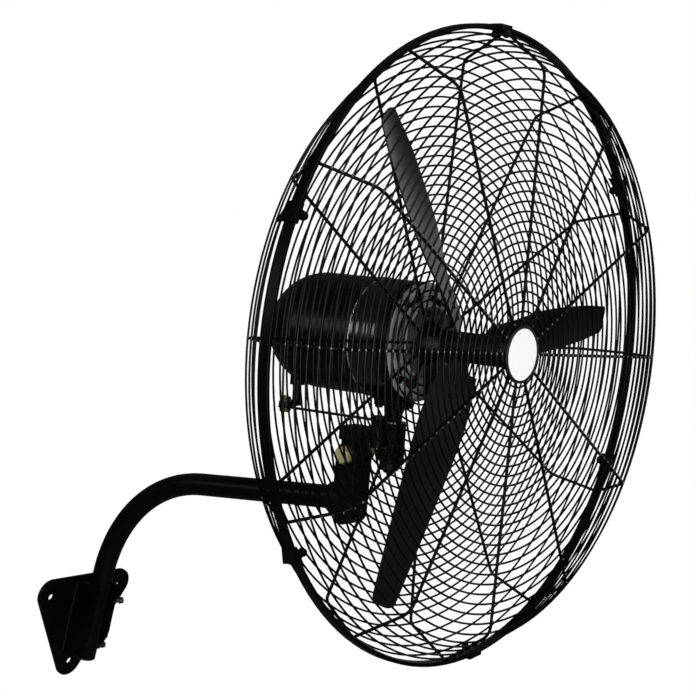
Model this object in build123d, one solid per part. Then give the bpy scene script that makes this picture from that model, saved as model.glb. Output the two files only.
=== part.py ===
from build123d import *
import os
from math import atan, cos, degrees, hypot, pi, radians, sin, sqrt

# Wall mounted fan, millimetres, +Z up.  The wall is the plane Y = 0 and the fan looks along -Y.
# The origin is the centre of the three wall bolts, on the back face of the wall plate.
# Everything that tilts is drawn in the HEAD frame: x across, y up, z forward along the fan's axis,
# with its origin at the centre of the guard's rim.

# ---- pose and layout -------------------------------------------------------------------------
ARM_RISE = 17.4          # degrees by which the arm's straight run rises towards the fan
HEAD_UP = 12.5           # degrees by which the fan's axis points up at rest
CORNER_HEIGHT = 239.0    # where the arm's two straight runs would meet, above the origin
ARM_RUN = 428.3          # from that corner to the middle of the knuckle
BEND_RADIUS = 215.0
TILT_AHEAD = 8.6         # tilt bolt ahead of the knuckle's middle, along the arm
TILT_HEIGHT = 60.5       # tilt bolt above the arm's axis
TILT_BACK = 180.0        # tilt bolt behind the rim's plane
TILT_DROP = 160.0        # tilt bolt below the fan's axis
SWING_BACK = 120.0       # upright swing axis behind the rim's plane

# ---- wall plate and bracket --------------------------------------------------------------------
PLATE_THICKNESS = 5.0
PLATE_BOLT_CIRCLE = 156.0
PLATE_BOLT_COUNT = 3
PLATE_HOLE = 11.0
PLATE_CORNER_RADIUS = 24.0
PLATE_TOP_EXTRA = 4.0    # upper corners rounded about points this far above their holes
PLATE_EDGE_ROUND = 1.2
BRACKET_THICKNESS = 4.0
BRACKET_BOTTOM = -57.0
BRACKET_TOP = 62.0
BRACKET_PEAK = 69.0      # front of the ears' sloping top edge
EAR_REACH = 19.0         # ear beyond the tube's axis
EAR_STRAIGHT = 3.0       # the ears' front edge is straight down to here, then sweeps back
EAR_ROUND = 5.0
EAR_GAP = 0.3            # ear to tube, each side
ARM_SCREW = 6.0
ARM_SCREWS = ((30.0, 24.0), (-26.0, 6.0), (-42.0, 6.0))   # height and spare thread of each

# ---- arm tube -------------------------------------------------------------------------------
TUBE_DIAMETER = 32.0
TUBE_WALL = 2.5
TUBE_WALL_GAP = 9.5      # from the bracket's web to the tube
TUBE_FOOT = -54.0        # height of the tube's lower end
PLUG_HEAD = 3.0
PLUG_DEPTH = 8.0

# ---- knuckle and tilt bolt -----------------------------------------------------------------
KNUCKLE_WIDTH = 38.0
KNUCKLE_RADIUS = 17.0    # rounded ends of the knuckle seen from the side
KNUCKLE_FOOT = 16.5      # centre of the lower round end, below the arm's axis
SOCKET_DEPTH = 9.0       # tube end past the knuckle's middle
SOCKET_COLLAR = 5.0      # wall round the tube
SOCKET_LENGTH = 28.0
TONGUE = 16.0            # thickness of the tilting tongue between the ears
TONGUE_GAP = 0.3
TILT_BOLT = 14.0
TILT_BOLT_SPARE = 2.5
WASHER = 2.0
CLAMP_SCREW = 8.0

# ---- tilting head ---------------------------------------------------------------------------
BRIDGE_TOP = -122.0      # below the fan's axis
BRIDGE_CLEAR = 2.0       # bridge to the knuckle's ears
BRIDGE_WIDTH = 34.0
COLLAR_TOP = -110.0
COLLAR_BOTTOM = -158.0
COLLAR_WALL = 5.0
BUSH_WALL = 3.0
POST_DIAMETER = 20.0
POST_NECK = 24.0         # post above the collar
POST_THREAD = 16.0
THRUST_WASHER = 1.6
RUN_GAP = 0.05           # radial running clearance of pins and shafts
SLIP_GAP = 0.02          # radial clearance of fixed fits
FACE_GAP = 0.3           # between faces that slide past each other

# ---- swing linkage -------------------------------------------------------------------------
CRANK_SIDE = -24.0       # crank shaft beside the fan's axis
CRANK_BACK = 267.0       # crank shaft behind the rim's plane
CRANK_SHAFT = 11.5
CRANK_THROW = 22.0
CRANK_ARM_TOP = -98.0
CRANK_ARM_THICKNESS = 6.0
CRANK_EYE = 9.0          # radius of the crank arm's ends
CRANK_PIN = 8.0
LINK_THICKNESS = 2.0
LINK_WIDTH = 12.0
LINK_EYE = 9.5
LINK_GAP = 0.4           # link to crank arm, and link to the open pivot's boss
PIVOT_SIDE = -31.0       # fixed end of the link
PIVOT_BACK = 120.0

# ---- motor -----------------------------------------------------------------------------------
MOTOR_RADIUS = 78.0
BELL_FACE = -78.0        # front face of the end bell
BELL_REAR = -98.0
SHELL_REAR = -145.0
DOME_START = -241.0      # where the cover turns into a half sphere
SHELL_WALL = 3.0
COVER_WALL = 2.0
BELL_WALL = 5.0
SEAT_RADIUS = 48.0       # raised seat that carries the rear guard
VENT_COUNT = 8
VENT_EDGE = 5.0          # vents to the raised seat
VENT_RIM = 2.0           # vents to the tie screws' heads
VENT_SWEEP = 26.0        # degrees
STATOR_FRONT = -106.0
STATOR_REAR = -190.0
STATOR_BORE = 42.0
AIR_GAP = 0.6
WINDING_REACH = 10.0     # coil heads beyond the stator
WINDING_CLEAR = 1.5      # coil heads to the tie screws
SHAFT = 17.0
SHAFT_NOSE = 16.0
BEARING_OUTER = 40.0
BEARING_WIDTH = 12.0
BEARING_WALL = 4.0
BRACKET_FACE = -208.0    # front of the rear bearing bracket
BRACKET_DISC = 5.0
TIE_INSET = 9.0          # tie screws inside the motor's outside
TIE_SCREW = 5.0
TIE_COUNT = 4
TIE_ANGLE = 43.0
TIE_CIRCLE = MOTOR_RADIUS - TIE_INSET
FOOT_WIDTH = 40.0
FOOT_LENGTH = 42.0
FOOT_DROP = 9.0          # underside of the foot below the motor shell
FOOT_SCREW = 6.0

# ---- gearbox ---------------------------------------------------------------------------------
WHEEL_TEETH = 19
WORM_LEAD = 6.0
WORM_TIP = 7.4
WORM_ROOT = 4.4
WORM_TURNS = 4
GEAR_CLEAR = 0.5         # tip to root
WHEEL_WIDTH = 4.5
GEARBOX_WALL = 3.0
GEARBOX_HALF = 16.0      # half height of the housing
CRANK_BOSS = 10.0
COVER_SCREW = 4.0

# ---- rotor -----------------------------------------------------------------------------------
HUB_RADIUS = 19.5
HUB_FRONT = 46.0
HUB_REAR = -42.0
BLADE_COUNT = 3
BLADE_PLANE = -12.5
BLADE_PHASE = 5.85       # degrees of the first blade above +X
BLADE_TIP = 343.5
BLADE_ROOT = 32.0
BLADE_THICKNESS = 2.6
BLADE_TIP_ROUND = 15.0
ROOT_PITCH = 31.0
BLADE_ARM_WIDTH = 24.0
BLADE_ARM_THICKNESS = 5.0
BLADE_ARM_END = 94.0
RIVET = 5.0
RIVET_HEAD = 2.2
RIVET_LIFT = 0.3         # front head above the flat sheet, for the blade's twist
RIVET_RADII = (48.0, 66.0, 84.0)
BLADE_THIN_FROM = 200.0  # radius beyond which the sheet is drawn thinner
# radius, chord and pitch of the blade's sections
BLADE_SECTIONS = ((BLADE_ROOT, 52.0, ROOT_PITCH), (62.0, 59.0, ROOT_PITCH), (BLADE_ARM_END, 64.0, ROOT_PITCH),
                  (150.0, 66.0, 21.0), (200.0, 63.0, 15.0), (250.0, 57.0, 11.5),
                  (300.0, 48.0, 9.5), (BLADE_TIP + 2.0, 38.0, 8.5))

# ---- guard -----------------------------------------------------------------------------------
HOOP_OUTER = 403.2
HOOP_SHEET = 1.4
HOOP_LIP = 4.0
RIM_WIRE = 5.0
RIM_GAP = 0.1            # rim wires to each other and to the hoop
RIM_RADIUS = HOOP_OUTER - HOOP_SHEET - RIM_GAP - RIM_WIRE / 2      # centre of the two rim wires
RIM_SPACING = RIM_WIRE + RIM_GAP
HOOP_WIDTH = 2 * (RIM_WIRE + RIM_GAP + HOOP_SHEET)
GUARD_DEPTH = 65.5       # front spokes at the centre, from the rim's plane
GUARD_CORNER_RADIUS = 353.0
GUARD_CORNER_DEPTH = 63.5
GUARD_BEND = 24.0
REAR_DEPTH = 69.0        # rear spokes at the centre, behind the rim's plane
REAR_CORNER_RADIUS = 363.0
REAR_CORNER_DEPTH = 58.5
REAR_BEND = 12.0
SPOKE_WIRE = 4.0
SPOKE_COUNT = 12
SPOKE_PHASE = -2.0
SPOKE_START = 30.0
RING_WIRE = 2.5
RING_PITCH = 12.3
REAR_SIDE_PITCH = 17.0   # rings on the side of the rear guard
WIRE_FLATS = 8
WELD = 0.2               # how deep a ring sinks into a spoke
SIDE_RING_DEPTH = 56.0   # rings nearer the rim's plane than this are side rings
CENTRE_PLATE = 36.0
PLATE_SHEET = 1.5
BADGE_RADIUS = 32.4
BADGE_LIP = 3.0
REAR_RING_INNER = 30.0
CLIP_ANGLES = (33.4, 89.4, 157.3, 214.2, 276.3, 334.7)
CLIP_LENGTH = 24.0
CLIP_EAR = 11.0          # width of the ears that carry a clip's screw
CLIP_TAIL = 8.0          # tail of a clip beyond its rear side
CLIP_SHEET = 2.0
CLIP_GAP = 0.3           # clip to hoop
CLIP_SCREW = 5.0


# ---- frames and small shapes -------------------------------------------------------------------
def frame(point, up_angle):
    """Frame at (y, z) with x across, y up and z forward along an axis that rises by up_angle."""
    a = radians(up_angle)
    return Plane(origin=(0, point[0], point[1]), x_dir=(1, 0, 0), z_dir=(0, -cos(a), sin(a)))


def along(point, up_angle, ahead, up):
    """The (y, z) point that lies ahead along, and up square to, an axis that rises by up_angle."""
    a = radians(up_angle)
    return (point[0] - ahead * cos(a) + up * sin(a), point[1] + ahead * sin(a) + up * cos(a))


def rod(radius, low, high):
    """Cylinder along z."""
    return Pos(0, 0, (low + high) / 2) * Cylinder(radius, high - low)


def ring(outer, inner, low, high):
    """Hollow cylinder along z."""
    return rod(outer, low, high) - rod(inner, low - 1, high + 1)


def upright(radius, low, high, x=0, z=0):
    """Cylinder along y."""
    return Pos(x, (low + high) / 2, z) * Rot(90, 0, 0) * Cylinder(radius, high - low)


def across(radius, low, high, y=0, z=0):
    """Cylinder along x."""
    return Pos((low + high) / 2, y, z) * Rot(0, 90, 0) * Cylinder(radius, high - low)


def hexagon(flats, height):
    """Hexagonal prism that stands on z = 0, with its edges broken."""
    prism = extrude(RegularPolygon(flats / sqrt(3), 6), height)
    cone = Cone(flats / sqrt(3) + height / 3, flats / sqrt(3) - height / 5, height)
    return prism & Pos(0, 0, height / 2) * cone


def polar(angle, shape):
    """Shape turned about z."""
    return Rot(0, 0, angle) * shape


def group(shapes):
    """Separate solids that share one node."""
    return Compound(children=[solid for shape in shapes for solid in shape.solids()])


def slab(points, low, high):
    """Outline in the (z, y) plane of a frame, spread across x from low to high."""
    face = make_face(Polyline(*[(0, y, z) for z, y in points], close=True))
    return Pos(low, 0, 0) * extrude(face, high - low, dir=(1, 0, 0))


def hull_bar(radius_a, a, radius_b, b, low, high):
    """Bar across x whose side view is the hull of two circles at (z, y) points a and b."""
    dz, dy = b[0] - a[0], b[1] - a[1]
    length = hypot(dz, dy)
    turn = degrees(atan((radius_a - radius_b) / length)) if radius_a != radius_b else 0
    nz, ny = -dy / length, dz / length
    c, s = cos(radians(turn)), sin(radians(turn))
    left = (nz * c + dz / length * s, ny * c + dy / length * s)
    right = (-nz * c + dz / length * s, -ny * c + dy / length * s)
    web = slab([(a[0] + left[0] * radius_a, a[1] + left[1] * radius_a),
                (b[0] + left[0] * radius_b, b[1] + left[1] * radius_b),
                (b[0] + right[0] * radius_b, b[1] + right[1] * radius_b),
                (a[0] + right[0] * radius_a, a[1] + right[1] * radius_a)], low, high)
    ends = across(radius_a, low, high, a[1], a[0]) + across(radius_b, low, high, b[1], b[0])
    return web + ends


# ---- where things are --------------------------------------------------------------------------
TUBE_RADIUS = TUBE_DIAMETER / 2
TUBE_Y = -(PLATE_THICKNESS + BRACKET_THICKNESS + TUBE_WALL_GAP + TUBE_RADIUS)
CORNER = (TUBE_Y, CORNER_HEIGHT)
KNUCKLE_POINT = along(CORNER, ARM_RISE, ARM_RUN, 0)
TILT_POINT = along(KNUCKLE_POINT, ARM_RISE, TILT_AHEAD, TILT_HEIGHT)
RIM_POINT = along(TILT_POINT, HEAD_UP, TILT_BACK, TILT_DROP)
KNUCKLE = frame(KNUCKLE_POINT, ARM_RISE)
HEAD = frame(RIM_POINT, HEAD_UP)

parts = {}


# ---- wall plate, bracket and arm ---------------------------------------------------------------
def wall_plate():
    circle = PLATE_BOLT_CIRCLE / 2
    spots = [(circle * cos(radians(a)), circle * sin(radians(a))) for a in (30, 150, 270)]
    corners = [Pos(x, z + PLATE_TOP_EXTRA * (z > 0)) * Circle(PLATE_CORNER_RADIUS) for x, z in spots]
    face = make_hull([edge for corner in corners for edge in corner.edges()])
    plate = Plane.XZ * extrude(face, PLATE_THICKNESS)
    front = plate.faces().sort_by(Axis.Y)[0]
    plate = fillet(front.edges(), PLATE_EDGE_ROUND)
    for x, z in spots:
        plate -= Plane.XZ * Pos(x, z) * Cylinder(PLATE_HOLE / 2, 4 * PLATE_THICKNESS)
    return plate


def bracket_ear():
    """One ear of the bracket, standing on X = 0; its front edge sweeps back to the plate below."""
    rear, front = -PLATE_THICKNESS, TUBE_Y - EAR_REACH
    foot = rear - BRACKET_THICKNESS
    belly = (foot + (front - foot) * cos(pi / 4),
             EAR_STRAIGHT + (BRACKET_BOTTOM - EAR_STRAIGHT) * sin(pi / 4))
    sides = Polyline((foot, BRACKET_BOTTOM), (rear, BRACKET_BOTTOM), (rear, BRACKET_TOP),
                     (front, BRACKET_PEAK), (front, EAR_STRAIGHT))
    swept = ThreePointArc((front, EAR_STRAIGHT), belly, (foot, BRACKET_BOTTOM))
    face = make_face(sides.edges() + [swept])
    face = fillet(face.vertices().sort_by(Axis.Y)[-1], EAR_ROUND)
    return extrude(Plane.YZ * face, BRACKET_THICKNESS, dir=(1, 0, 0))


def tube_bracket():
    inner = TUBE_RADIUS + EAR_GAP
    outer = inner + BRACKET_THICKNESS
    web_y = -(PLATE_THICKNESS + BRACKET_THICKNESS / 2)
    body = Pos(0, web_y, (BRACKET_TOP + BRACKET_BOTTOM) / 2) * Box(
        2 * outer, BRACKET_THICKNESS, BRACKET_TOP - BRACKET_BOTTOM)
    body += Pos(-outer, 0, 0) * bracket_ear() + Pos(inner, 0, 0) * bracket_ear()
    for z, _ in ARM_SCREWS:
        body -= across(ARM_SCREW / 2 + SLIP_GAP, 0, 2 * outer, TUBE_Y, z)
    return body


def arm_screws():
    """Hexagon screws with lock nuts, through one ear of the bracket and tight against the tube."""
    outer = TUBE_RADIUS + EAR_GAP + BRACKET_THICKNESS
    flats, head, nut = 1.7 * ARM_SCREW, 0.65 * ARM_SCREW, 0.8 * ARM_SCREW
    screws, nuts = [], []
    for z, spare in ARM_SCREWS:
        seat = outer + nut + spare
        screw = across(ARM_SCREW / 2, TUBE_RADIUS + SLIP_GAP, seat, TUBE_Y, z)
        screws.append(screw + Pos(seat, TUBE_Y, z) * Rot(0, 90, 0) * hexagon(flats, head))
        hole = across(ARM_SCREW / 2 + SLIP_GAP, 0, seat, TUBE_Y, z)
        nuts.append(Pos(outer, TUBE_Y, z) * Rot(0, 90, 0) * hexagon(flats, nut) - hole)
    return group(screws), group(nuts)


def arm_tube():
    foot = (0, TUBE_Y, TUBE_FOOT)
    end = along(KNUCKLE_POINT, ARM_RISE, SOCKET_DEPTH - FACE_GAP, 0)
    path = FilletPolyline(foot, (0, *CORNER), (0, *end), radius=BEND_RADIUS)
    section = Plane(origin=foot, z_dir=(0, 0, 1)) * (Circle(TUBE_RADIUS) - Circle(TUBE_RADIUS - TUBE_WALL))
    return sweep(section, path=path)


def tube_end_plug():
    plug = Cylinder(TUBE_RADIUS, PLUG_HEAD, align=(Align.CENTER, Align.CENTER, Align.MAX))
    plug = fillet(plug.edges().sort_by(Axis.Z)[0], PLUG_HEAD / 2)
    plug += rod(TUBE_RADIUS - TUBE_WALL - SLIP_GAP, 0, PLUG_DEPTH)
    return Pos(0, TUBE_Y, TUBE_FOOT) * plug


# ---- knuckle ---------------------------------------------------------------------------------
def knuckle():
    half = KNUCKLE_WIDTH / 2
    ear = (TILT_AHEAD, TILT_HEIGHT)
    foot = (0, -KNUCKLE_FOOT)
    body = hull_bar(KNUCKLE_RADIUS, foot, KNUCKLE_RADIUS, ear, -half, half)
    edges = body.faces().sort_by(Axis.X)[0].edges() + body.faces().sort_by(Axis.X)[-1].edges()
    body = fillet(edges, 2.5)
    body += rod(TUBE_RADIUS + SOCKET_COLLAR, -SOCKET_LENGTH, 0)
    slot = TONGUE / 2 + TONGUE_GAP
    clear = KNUCKLE_RADIUS + BRIDGE_CLEAR
    body -= Pos(0, TILT_HEIGHT, TILT_AHEAD) * Box(2 * slot, 2 * clear, 4 * clear)
    body -= rod(TUBE_RADIUS + SLIP_GAP, -2 * SOCKET_LENGTH, SOCKET_DEPTH)
    body -= across(TILT_BOLT / 2 + RUN_GAP, -2 * half, 2 * half, TILT_HEIGHT, TILT_AHEAD)
    body -= upright(CLAMP_SCREW / 2 + SLIP_GAP, -2 * KNUCKLE_FOOT - KNUCKLE_RADIUS, -TUBE_RADIUS)
    return KNUCKLE * body


def knuckle_clamp_screw():
    """Set screw that holds the tube, flush with the knuckle's rounded foot."""
    low = -(KNUCKLE_FOOT + KNUCKLE_RADIUS) + 1
    high = -TUBE_RADIUS - SLIP_GAP
    screw = upright(CLAMP_SCREW / 2, low, high)
    key = Pos(0, low, 0) * Rot(-90, 0, 0) * extrude(RegularPolygon(CLAMP_SCREW / 4, 6), CLAMP_SCREW / 2)
    return KNUCKLE * (screw - key)


def tilt_fastener():
    grip = KNUCKLE_WIDTH / 2
    flats, head, nut = 1.5 * TILT_BOLT, 0.62 * TILT_BOLT, 0.8 * TILT_BOLT
    end = grip + WASHER + nut + TILT_BOLT_SPARE
    y, z = TILT_HEIGHT, TILT_AHEAD
    bolt = across(TILT_BOLT / 2, -grip - WASHER, end, y, z)
    bolt += Pos(-grip - WASHER, y, z) * Rot(0, -90, 0) * Rot(0, 0, 12) * hexagon(flats, head)
    hole = across(TILT_BOLT / 2 + SLIP_GAP, -2 * end, 2 * end, y, z)
    nut = Pos(grip + WASHER, y, z) * Rot(0, 90, 0) * hexagon(flats, nut) - hole
    washers = [across(flats / 2 + 3, low, low + WASHER, y, z) - hole for low in (-grip - WASHER, grip)]
    return KNUCKLE * bolt, KNUCKLE * nut, group([KNUCKLE * w for w in washers])


# ---- tilting head ------------------------------------------------------------------------------
BUSH_RADIUS = POST_DIAMETER / 2 + RUN_GAP + BUSH_WALL
COLLAR_RADIUS = BUSH_RADIUS + COLLAR_WALL
LINK_TOP = CRANK_ARM_TOP - CRANK_ARM_THICKNESS - LINK_GAP
LINK_UNDER = LINK_TOP - LINK_THICKNESS
BOSS_TOP = LINK_UNDER - LINK_GAP


def tilt_head():
    half = BRIDGE_WIDTH / 2
    low = -TILT_DROP + KNUCKLE_RADIUS + BRIDGE_CLEAR
    middle = (BRIDGE_TOP + low) / 2
    rear = TILT_BACK + KNUCKLE_RADIUS
    bridge = Box(BRIDGE_WIDTH, BRIDGE_TOP - low, rear - SWING_BACK)
    bridge = fillet(bridge.edges().group_by(Axis.Z)[0], 4)
    body = Pos(0, middle, -(rear + SWING_BACK) / 2) * bridge
    tongue = hull_bar(KNUCKLE_RADIUS, (-TILT_BACK, -TILT_DROP), KNUCKLE_RADIUS,
                      (-TILT_BACK, middle - KNUCKLE_RADIUS / 2), -TONGUE / 2, TONGUE / 2)
    body += tongue
    collar = upright(COLLAR_RADIUS, COLLAR_BOTTOM, COLLAR_TOP, 0, -SWING_BACK)
    body += fillet(collar.edges().group_by(Axis.Y)[0], 2)
    # side lug with the boss under the link's fixed end
    boss = upright(LINK_EYE, low, BOSS_TOP, PIVOT_SIDE, -PIVOT_BACK)
    lug = Pos(PIVOT_SIDE / 2, middle, -PIVOT_BACK) * Box(-PIVOT_SIDE, BRIDGE_TOP - low, 1.6 * LINK_EYE)
    body += boss + lug
    body -= upright(BUSH_RADIUS + SLIP_GAP, COLLAR_BOTTOM - 1, COLLAR_TOP + 1, 0, -SWING_BACK)
    body -= across(TILT_BOLT / 2 + RUN_GAP, -half, half, -TILT_DROP, -TILT_BACK)
    return HEAD * body


def pivot_bush():
    bush = upright(BUSH_RADIUS, COLLAR_BOTTOM, COLLAR_TOP, 0, -SWING_BACK)
    bush -= upright(POST_DIAMETER / 2 + RUN_GAP, COLLAR_BOTTOM - 1, COLLAR_TOP + 1, 0, -SWING_BACK)
    return HEAD * bush


def pivot_post():
    washer_top = COLLAR_TOP + FACE_GAP + THRUST_WASHER
    foot_bottom = -MOTOR_RADIUS - FOOT_DROP
    thread_end = COLLAR_BOTTOM - FACE_GAP - WASHER - 0.8 * POST_THREAD - 3
    post = upright(POST_DIAMETER / 2, COLLAR_BOTTOM - FACE_GAP, washer_top, 0, -SWING_BACK)
    post += upright(POST_THREAD / 2, thread_end, COLLAR_BOTTOM, 0, -SWING_BACK)
    post += upright(POST_NECK / 2, washer_top, foot_bottom + 1, 0, -SWING_BACK)
    foot = Box(FOOT_WIDTH, FOOT_DROP + 12, FOOT_LENGTH)
    foot = fillet(foot.edges().filter_by(Axis.Y), 6)
    post += Pos(0, foot_bottom + (FOOT_DROP + 12) / 2, -SWING_BACK) * foot
    post -= Pos(0, 0, -SWING_BACK) * Cylinder(MOTOR_RADIUS + SLIP_GAP, 2 * FOOT_LENGTH)
    for x, z in foot_screw_spots():
        post -= upright(FOOT_SCREW / 2 + SLIP_GAP, foot_bottom - 1, 0, x, z)
    return HEAD * post


def foot_screw_spots():
    return [(x, -SWING_BACK + z) for x in (-14.0, 14.0) for z in (-14.0, 14.0)]


def foot_screws():
    under = -MOTOR_RADIUS - FOOT_DROP
    top = -MOTOR_RADIUS + SHELL_WALL / 2
    screws = []
    for x, z in foot_screw_spots():
        head = upright(0.9 * FOOT_SCREW, under - 0.6 * FOOT_SCREW, under, x, z)
        head = fillet(head.edges().group_by(Axis.Y)[0], 1.2)
        screws.append(HEAD * (head + upright(FOOT_SCREW / 2, under, top, x, z)))
    return group(screws)


def post_hardware():
    """Thrust washer on the collar, then washer and lock nut under it."""
    thrust_low = COLLAR_TOP + FACE_GAP
    thrust = upright(COLLAR_RADIUS - 1, thrust_low, thrust_low + THRUST_WASHER, 0, -SWING_BACK)
    thrust -= upright(POST_DIAMETER / 2 + SLIP_GAP, 2 * COLLAR_TOP, 0, 0, -SWING_BACK)
    top = COLLAR_BOTTOM - FACE_GAP
    hole = upright(POST_THREAD / 2 + SLIP_GAP, 2 * COLLAR_BOTTOM, top + 1, 0, -SWING_BACK)
    washer = upright(COLLAR_RADIUS - 1, top - WASHER, top, 0, -SWING_BACK) - hole
    nut = Pos(0, top - WASHER, -SWING_BACK) * Rot(90, 0, 0) * hexagon(1.5 * POST_THREAD, 0.8 * POST_THREAD)
    return HEAD * thrust, group([HEAD * washer, HEAD * (nut - hole)])


# ---- motor -----------------------------------------------------------------------------------
REAR_RING_FACE = -(REAR_DEPTH + SPOKE_WIRE / 2 - WELD)   # front of the rear guard's centre ring
SEAT_FACE = REAR_RING_FACE - 2.2                   # front of the raised guard seat
BEARING_FRONT = BELL_FACE - BELL_WALL - 1.0        # front of the front bearing


def front_end_bell():
    body = rod(MOTOR_RADIUS, BELL_REAR, BELL_FACE)
    body = fillet(body.edges().group_by(Axis.Z)[-1], 7)
    seat = rod(SEAT_RADIUS, BELL_FACE - 1, SEAT_FACE)
    body += fillet(seat.edges().group_by(Axis.Z)[-1], 1.5)
    body -= rod(MOTOR_RADIUS - SHELL_WALL, BELL_REAR - 1, BELL_FACE - BELL_WALL)
    seat_ring = ring(BEARING_OUTER / 2 + BEARING_WALL, BEARING_OUTER / 2 + SLIP_GAP,
                     BEARING_FRONT - BEARING_WIDTH, BELL_FACE - BELL_WALL)
    body += seat_ring
    body -= rod(BEARING_OUTER / 2 + SLIP_GAP, BEARING_FRONT - BEARING_WIDTH, BEARING_FRONT)
    body -= rod(SHAFT / 2 + 1.5, BEARING_FRONT - 1, SEAT_FACE + 1)
    inner, outer = SEAT_RADIUS + VENT_EDGE, TIE_CIRCLE - TIE_SCREW - VENT_RIM
    middle = (inner + outer) / 2
    for i in range(VENT_COUNT):
        angle = 360 / VENT_COUNT * i + 180 / VENT_COUNT
        arc = CenterArc((0, 0), middle, angle - VENT_SWEEP / 2, VENT_SWEEP)
        slot = extrude(SlotArc(arc, outer - inner), 3 * BELL_WALL)
        body -= Pos(0, 0, BELL_FACE - 2 * BELL_WALL) * slot
    for i in range(TIE_COUNT):
        hole = rod(TIE_SCREW / 2 + SLIP_GAP, 2 * BELL_REAR, 0)
        body -= polar(TIE_ANGLE + 90 * i, Pos(TIE_CIRCLE, 0, 0) * hole)
    for angle in guard_screw_angles():
        hole = rod(TIE_SCREW / 2 + SLIP_GAP, SEAT_FACE - 10, SEAT_FACE + 1)
        body -= polar(angle, Pos(guard_screw_circle(), 0, 0) * hole)
    return HEAD * body


def motor_shell():
    shell = ring(MOTOR_RADIUS, MOTOR_RADIUS - SHELL_WALL, SHELL_REAR, BELL_REAR)
    for x, z in foot_screw_spots():
        shell -= upright(FOOT_SCREW / 2 + SLIP_GAP, -2 * MOTOR_RADIUS, 0, x, z)
    return HEAD * shell


def domed(radius, front):
    """Solid cylinder from front to DOME_START, closed by a half sphere."""
    return rod(radius, DOME_START, front) + Pos(0, 0, DOME_START) * Sphere(radius)


def rear_cover():
    """Deep drawn cover with a domed end."""
    body = domed(MOTOR_RADIUS, SHELL_REAR)
    body += rod(MOTOR_RADIUS + 1.2, SHELL_REAR - 7, SHELL_REAR)
    for x in cover_screw_sides():
        body += Pos(x, 0, 0) * rod(COVER_SCREW + 1, cover_screw_seat(x), DOME_START)
    body -= domed(MOTOR_RADIUS - COVER_WALL, SHELL_REAR + 1)
    body -= upright(CRANK_BOSS + 0.5, -2 * MOTOR_RADIUS, 0, CRANK_SIDE, -CRANK_BACK)
    for x in cover_screw_sides():
        body -= Pos(x, 0, 0) * rod(COVER_SCREW / 2 + SLIP_GAP, 2 * DOME_START, DOME_START)
    body -= gland_place() * rod(GLAND_THREAD, -30, 30)
    return HEAD * body


def cover_screw_sides():
    return (-14.0, 4.0)


def cover_screw_seat(x):
    """Depth of the flat seat under a cover screw's head."""
    return DOME_START - sqrt(MOTOR_RADIUS ** 2 - max(0, abs(x) - COVER_SCREW) ** 2) - FACE_GAP


GLAND_THREAD = 6.0
GLAND_BACK = 200.0


def gland_place():
    """Place of the cable gland: low on the far side of the cover, pointing outward."""
    return Rot(0, 0, -42) * Pos(MOTOR_RADIUS, 0, -GLAND_BACK) * Rot(0, 90, 0)


def cable_gland():
    body = rod(GLAND_THREAD - SLIP_GAP, -5, 0.5)
    body += Pos(0, 0, 0.5) * hexagon(17, 5)
    dome = Pos(0, 0, 5.5) * Cylinder(7.5, 12, align=(Align.CENTER, Align.CENTER, Align.MIN))
    body += fillet(dome.edges().group_by(Axis.Z)[-1], 3)
    body -= rod(3.5, -6, 30)
    return HEAD * (gland_place() * body)


def rear_bearing_bracket():
    radius = MOTOR_RADIUS - COVER_WALL - FACE_GAP
    body = rod(radius, BRACKET_FACE - BRACKET_DISC, BRACKET_FACE)
    body += rod(BEARING_OUTER / 2 + BEARING_WALL, BRACKET_FACE - BEARING_WIDTH - 3, BRACKET_FACE)
    body -= rod(BEARING_OUTER / 2 + SLIP_GAP, BRACKET_FACE - BEARING_WIDTH, BRACKET_FACE + 1)
    body -= rod(SHAFT / 2 + 1.5, 2 * BRACKET_FACE, BRACKET_FACE)
    for i in range(TIE_COUNT):
        hole = rod(TIE_SCREW / 2 + SLIP_GAP, 2 * BRACKET_FACE, 0)
        body -= polar(TIE_ANGLE + 90 * i, Pos(TIE_CIRCLE, 0, 0) * hole)
    return HEAD * body


def bearings():
    solids = []
    for front in (BEARING_FRONT, BRACKET_FACE):
        body = ring(BEARING_OUTER / 2, SHAFT / 2 + RUN_GAP, front - BEARING_WIDTH, front)
        groove = ring(BEARING_OUTER / 2 - 4, SHAFT / 2 + 4, front - 0.8, front + 1)
        solids.append(HEAD * (body - groove))
    return group(solids)


def stator_core():
    core = ring(MOTOR_RADIUS - SHELL_WALL - SLIP_GAP, STATOR_BORE, STATOR_REAR, STATOR_FRONT)
    for i in range(24):
        slot = Pos(STATOR_BORE + 9, 0, (STATOR_REAR + STATOR_FRONT) / 2)
        core -= polar(15 * i + 7.5, slot * Box(14, 5, STATOR_FRONT - STATOR_REAR + 2))
    for i in range(TIE_COUNT):
        hole = rod(TIE_SCREW / 2 + 0.2, STATOR_REAR - 1, STATOR_FRONT + 1)
        core -= polar(TIE_ANGLE + 90 * i, Pos(TIE_CIRCLE, 0, 0) * hole)
    return HEAD * core


def stator_windings():
    inner, outer = STATOR_BORE + 3, TIE_CIRCLE - TIE_SCREW / 2 - WINDING_CLEAR
    rear = ring(outer, inner, STATOR_REAR - WINDING_REACH, STATOR_REAR)
    front = ring(outer, inner, STATOR_FRONT, STATOR_FRONT + WINDING_REACH - 3)
    rear = fillet(rear.edges().group_by(Axis.Z)[0], 3)
    front = fillet(front.edges().group_by(Axis.Z)[-1], 2)
    return group([HEAD * rear, HEAD * front])


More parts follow.
